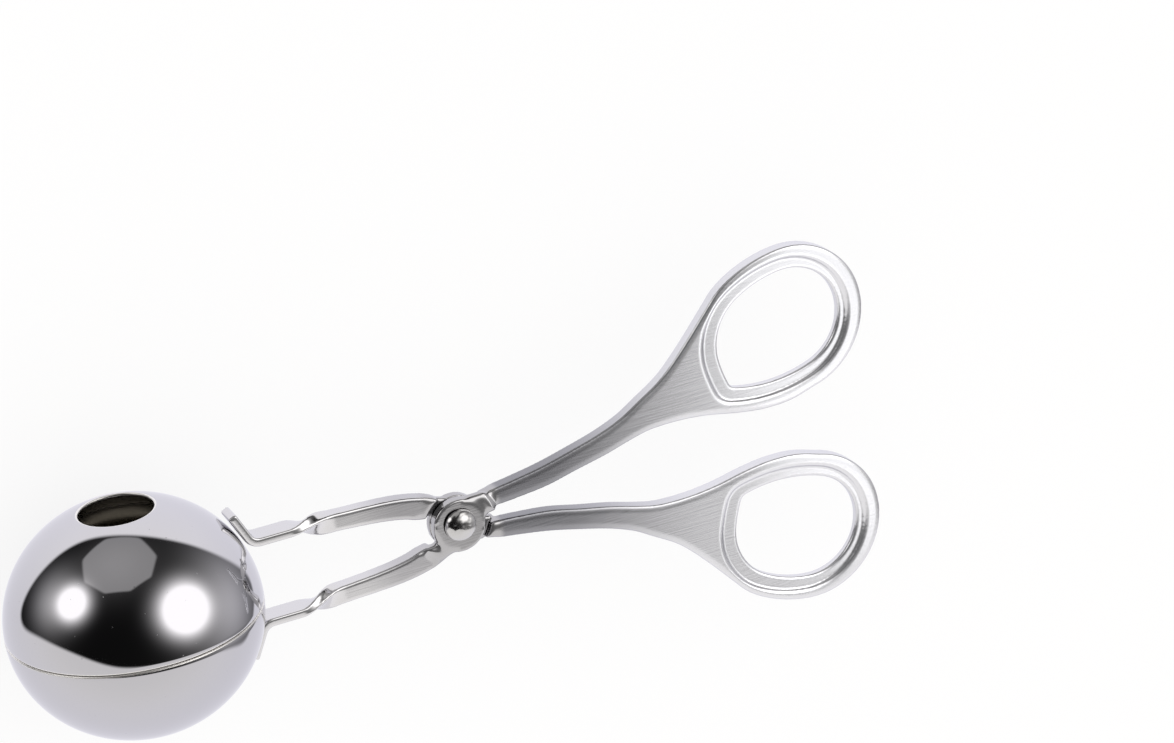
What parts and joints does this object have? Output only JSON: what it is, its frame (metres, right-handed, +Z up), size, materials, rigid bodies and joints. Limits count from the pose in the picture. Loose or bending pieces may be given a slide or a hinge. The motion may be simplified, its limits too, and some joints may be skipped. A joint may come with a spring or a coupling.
{
  "type": "meatball tongs",
  "caption": "Scissor-action meatball tongs: riveted levers with finger loops close thin half bowls with crown holes around a ball of meat.",
  "frame": {"origin": "middle of the footprint, level with the lowest point of the closed ball", "axes": "+X from the ball to the finger loops, +Y towards the upper bowl, +Z up along the pivot axis, towards the rivet's domed head"},
  "size_m": [0.1696, 0.072, 0.046],
  "materials": {
    "polished_bowl": "mirror-polished stainless sheet",
    "satin_lever": "satin-brushed stainless, brighter on the arms",
    "polished_rivet": "polished stainless"
  },
  "bodies": {
    "back": {"back_lever": "satin_lever", "upper_bowl": "polished_bowl", "pivot_rivet": "polished_rivet"},
    "front": {"front_lever": "satin_lever", "lower_bowl": "polished_bowl"}
  },
  "joints": [
    {"name": "pivot", "type": "hinge", "parent": "back", "child": "front", "pos_m": [-0.00022, 0, 0.023], "axis": [0, 0, 1], "range_deg": [0, 60]}
  ]
}
